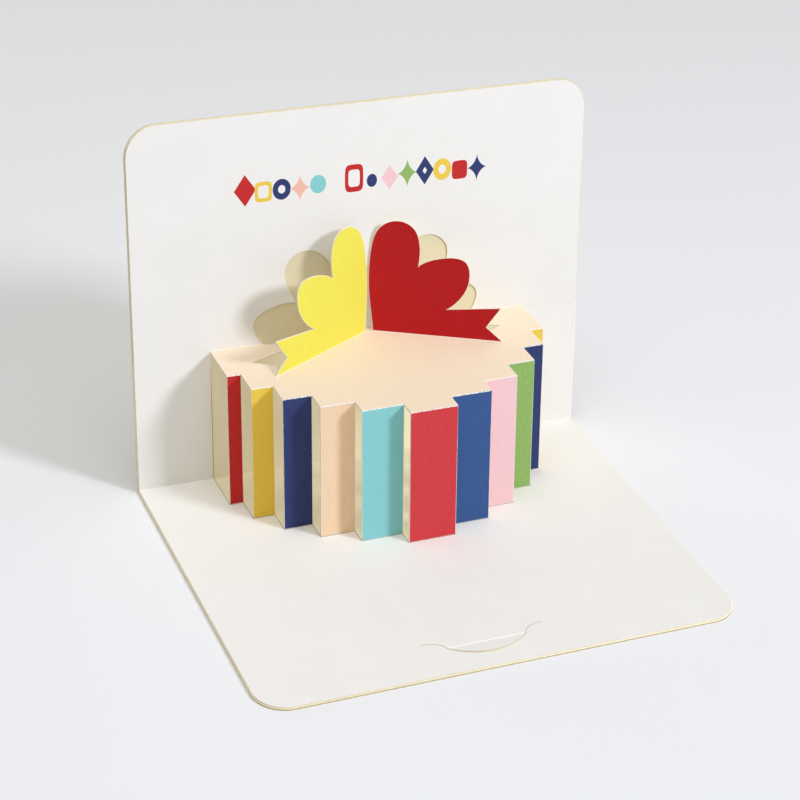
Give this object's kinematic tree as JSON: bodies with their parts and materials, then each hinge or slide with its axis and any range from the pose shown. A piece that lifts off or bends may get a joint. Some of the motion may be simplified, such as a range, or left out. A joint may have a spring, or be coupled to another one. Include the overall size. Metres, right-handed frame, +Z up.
{
  "type": "pop-up card",
  "caption": "Greeting card standing open at a right angle, with a stepped half-round pop-up cake and a folded-up bow cut from its inner sheet.",
  "frame": {"origin": "on the floor under the open card, midway between the base's free edge and the back of the back panel's top edge, and midway along the spine", "axes": "+X along the spine, to the right as seen from the front; +Y from the base's free edge to the back panel; +Z up from the floor"},
  "size_m": [0.15, 0.1314, 0.1184],
  "materials": {
    "cover_card": "matte cream card, smooth, uncoated",
    "printed_sheet": "matte ivory paper with printed fields of colour on the cake and the bow"
  },
  "bodies": {
    "root": {"outer_cover": "cover_card", "popup_sheet": "printed_sheet"}
  },
  "joints": []
}
